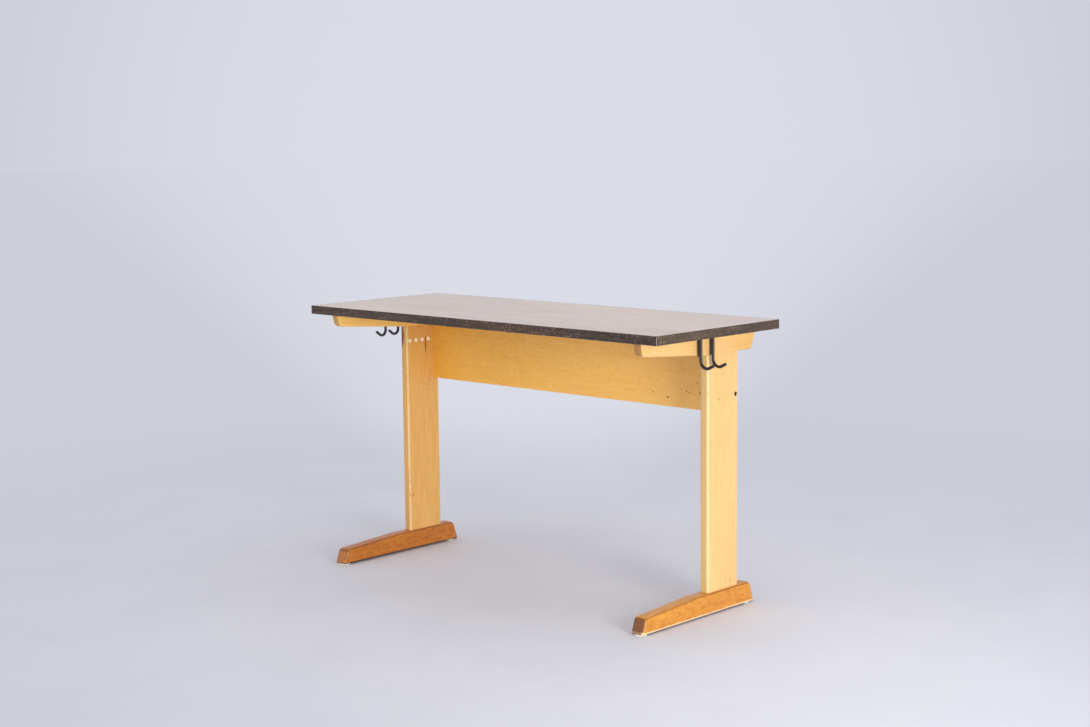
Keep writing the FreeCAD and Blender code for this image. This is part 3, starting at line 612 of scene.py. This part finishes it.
# The left post's nicks, with painted shade inside its bolt hole as the last entry
LEFT_POST_NICKS_AND_BORE_SHADE = [nick(left_face, 0.106, 0.499), nick(left_face, 0.104, 0.257, 1.8 * MM),
                   nick(left_face, 0.048, 0.166), nick(left_face, 0.088, 0.360, 1.4 * MM),
                   ((left_outer_face + BORE_SHADE_DEPTH, bolt_y, bolt_z), BORE_SHADE)]
# A crack beside the last size mark, and a dark brown patch down the outer front edge beside the hooks
LEFT_POST_DARK_MARKS = [((left_face, 0.111, 0.622), (3.2 * MM, 3.2 * MM, 28 * MM)),
                    ((left_outer_face + 2 * MM, post_front + 1 * MM, 0.650), (15 * MM, 8 * MM, 40 * MM))]
BOARD_NICKS = [nick(x, board_front, z, radius * MM) for x, z, radius in
               ((0.312, 0.551, 2.3), (0.363, 0.541, 3.4), (0.428, 0.564, 2.7), (0.438, 0.560, 2.2),
                (0.464, 0.588, 2.5), (0.473, 0.562, 2.9), (0.120, 0.602, 1.4), (-0.210, 0.571, 1.5))]


def dress_wood():
    dress("right_bearer", beech(
        "beech_right_bearer", "y", PALE, PALE_DARK, (0, 0.60, 0.48), (0.3, 0, 0), edge_paleness=0.0,
        end_colour=RIGHT_BEARER_END, fade=("Y", 0.08, 0.24, (0.93, 0.88, 0.66))))
    # Left bearer: lighter colours than the right bearer's, painted light making up for the shade under
    # the top
    dress("left_bearer", beech(
        "beech_left_bearer", "y", SUNNY, SUNNY_DARK, (0, 0.62, -0.47), (1.7, 0, 0), edge_paleness=0.0,
        end_colour=LEFT_BEARER_END))
    # Right post: side_tint is painted shade on its front and back faces, and its pale front edges are
    # partly rubbed bare and partly painted highlight
    dress("right_post", beech(
        "beech_right_post", "z", PALE, PALE_DARK, (0, 0.10, 0.46), (0.9, 0, 0), edge_paleness=1.3,
        ring_strength=0.24, side_tint=(0.84, 0.88, 0.82), seams=(post_top, post_bottom),
        marks=RIGHT_POST_NICKS_AND_BORE_SHADE))
    # Left post: its pale front edge is partly rubbed bare and partly painted highlight
    dress("left_post", beech(
        "beech_left_post", "z", HONEY, HONEY_DARK, (0, 0.13, -0.46), (2.6, 0, 0), edge_paleness=1.0,
        ring_strength=0.26, seams=(post_top, post_bottom), marks=LEFT_POST_NICKS_AND_BORE_SHADE,
        stains=LEFT_POST_DARK_MARKS))
    dress("right_foot", beech(
        "beech_right_foot", "y", RIGHT_FOOT, RIGHT_FOOT_DARK, (0, -0.06, 0.53), (0.5, 0, 0),
        end_colour=RIGHT_FOOT_END, edge_paleness=1.3, pale_edge_top=FOOT_PALE_EDGE_TOP, coat=0.25,
        ring_strength=0.16, patchy=0.6, dark_edges=0.75, sole_shade_top=5.8 * MM, sole_pale_top=9.5 * MM))
    dress("left_foot", beech(
        "beech_left_foot", "y", LEFT_FOOT, LEFT_FOOT_DARK, (0, -0.05, -0.53), (2.1, 0, 0),
        end_colour=LEFT_FOOT_END, edge_paleness=0.2, pale_edge_top=FOOT_PALE_EDGE_TOP, coat=0.25,
        ring_strength=0.16, patchy=0.7, dark_edges=0.75, sole_shade_top=7.5 * MM))
    # Stretcher: fade lightens the board towards its right end, painted light against the right post's
    # shadow on it
    dress("stretcher_board", beech(
        "beech_stretcher", "x", AMBER, AMBER_DARK, (0, 0.61, 0.02), (0.2, 0, 0), coat=0.0,
        ring_strength=0.16, patchy=0.12, speckle=0.65, marks=BOARD_NICKS,
        fade=("X", board_left, board_right, (1.12, 1.27, 2.3))))
    pin_wood = beech("beech_dowels", "z", PALE, PALE_DARK, (0, 0, 0.4), edge_paleness=0.0)
    for side in ("right", "left"):
        for joint in ("bearer", "foot", "stretcher"):
            dress(f"{side}_{joint}_dowels", pin_wood)


def dress_top():
    dress("tabletop_laminate", laminate())
    dress("tabletop_core", chipboard())
    dress("tabletop_backing", backing())
    front_rub = ("X", 0.17, 0.05, 0.30, (1.42, 1.26, 1.15), (1.0, 1.0, 1.0))
    end_rub = ("Y", cad_low.y, 0.06, 0.42, (1.15, 1.20, 1.02), (0.87, 0.85, 0.83))
    short_band = edge_band("edge_band_short", "y", end_rub)
    bands = {"front": edge_band("edge_band_front", "x", front_rub),
             "back": edge_band("edge_band_back", "x"), "left": short_band, "right": short_band}
    for node, material in bands.items():
        dress("edge_band_" + node, material)


def dress_fittings():
    pieces = {black_steel(): ("front_hook", "rear_hook"),
              blackened_steel(): ("stretcher_bolt", "bolt_washer"),
              plated_steel(): ("cross_dowel", "top_screws", "glide_nails"),
              glide_plastic(): ("front_glide", "rear_glide")}
    for material, names in pieces.items():
        for side in ("right", "left"):
            for name in names:
                dress(f"{side}_{name}", material)
    dress("size_mark_studs", mark_plastic())


# ---- Studio ----

def make_floor():
    """One large pale sheet that fades into the studio colour far from the desk."""
    signs = ((-1, -1), (1, -1), (1, 1), (-1, 1))
    corners = [(x * FLOOR_HALF_SIZE, y * FLOOR_HALF_SIZE, 0.0) for x, y in signs]
    mesh = bpy.data.meshes.new("studio_floor")
    mesh.from_pydata(corners, [], [(0, 1, 2, 3)])
    floor = bpy.data.objects.new("studio_floor", mesh)
    bpy.context.scene.collection.objects.link(floor)
    g = material_graph("studio_floor")
    place = g.coordinates()
    marks = g.noise(g.scaled(place, 2.2, 2.2, 2.2), 5.0, 0.6)
    colour = g.blend(g.step(marks, 0.3, 0.7), FLOOR_COLOUR, shade(FLOOR_COLOUR, 0.955))
    grit = g.noise(g.scaled(place, 60.0, 60.0, 60.0), 3.0)
    inputs = {"Base Color": colour, "Roughness": 0.7, "Normal": g.bump(grit, 0.2 * MM, 0.4)}
    surface = g.node("BsdfPrincipled", inputs).outputs[0]
    glow = g.node("Emission", {"Color": backdrop_colour(g, place), "Strength": 1.0}).outputs[0]
    distance = g.vector("LENGTH", place)
    fading = g.step(distance, FLOOR_FADE_START, FLOOR_FADE_END)
    mixed = g.node("MixShader", {0: fading, 1: surface, 2: glow}).outputs[0]
    g.node("OutputMaterial", {"Surface": mixed})
    mesh.materials.append(g.owner)


def soft_light(name, place, aim, size, power, colour=(1, 1, 1), beam=math.pi):
    """A rectangular soft box at place that faces the point aim. beam is its full angle."""
    data = bpy.data.lights.new(name, "AREA")
    data.shape = "RECTANGLE"
    data.size, data.size_y = size
    data.energy = power
    data.color = colour
    data.spread = beam
    light = bpy.data.objects.new(name, data)
    turn = (Vector(aim) - Vector(place)).to_track_quat("-Z", "Y")
    light.matrix_world = Matrix.Translation(place) @ turn.to_matrix().to_4x4()
    light.visible_camera = False
    bpy.context.scene.collection.objects.link(light)


def even_light(name, direction, strength, disc):
    """A distant light from the given direction, equally strong everywhere. disc is the angle that
    it fills, so a large disc makes soft shadows."""
    data = bpy.data.lights.new(name, "SUN")
    data.energy = strength
    data.angle = disc
    light = bpy.data.objects.new(name, data)
    light.matrix_world = (-Vector(direction)).to_track_quat("-Z", "Y").to_matrix().to_4x4()
    bpy.context.scene.collection.objects.link(light)


def make_lights():
    middle = (cad_low + cad_high) / 2
    soft_light("key_right", KEY_PLACE, KEY_AIM, KEY_SIZE, KEY_POWER, KEY_COLOUR, KEY_BEAM)
    even_light("front_fill", FILL_DIRECTION, FILL_STRENGTH, FILL_DISC)
    soft_light("overhead", OVERHEAD_PLACE, middle, OVERHEAD_SIZE, OVERHEAD_POWER)
    world = bpy.data.worlds.new("studio")
    g = Graph(world)
    backdrop = g.node("Background", {"Color": backdrop_colour(g, g.coordinates("Generated"))}).outputs[0]
    g.node("OutputWorld", {"Surface": backdrop})
    bpy.context.scene.world = world


def make_camera():
    """The camera from its place, yaw, pitch and roll. Yaw turns from +Y towards -X."""
    yaw, pitch, roll = CAMERA_YAW, CAMERA_PITCH, CAMERA_ROLL
    ahead = Vector((-math.sin(yaw) * math.cos(pitch), math.cos(yaw) * math.cos(pitch), -math.sin(pitch)))
    level_right = Vector((math.cos(yaw), math.sin(yaw), 0.0))
    level_up = level_right.cross(ahead)
    right = math.cos(roll) * level_right + math.sin(roll) * level_up
    up = math.cos(roll) * level_up - math.sin(roll) * level_right
    data = bpy.data.cameras.new("camera")
    data.lens = CAMERA_LENS
    data.sensor_width = CAMERA_SENSOR_WIDTH
    data.sensor_fit = "HORIZONTAL"
    camera = bpy.data.objects.new("camera", data)
    turn = Matrix((right, up, -ahead)).transposed()
    camera.matrix_world = Matrix.Translation(CAMERA_PLACE) @ turn.to_4x4()
    bpy.context.scene.collection.objects.link(camera)
    bpy.context.scene.camera = camera


dress_wood()
dress_top()
dress_fittings()
make_floor()
make_lights()
make_camera()
bpy.context.scene.view_settings.view_transform = "Standard"
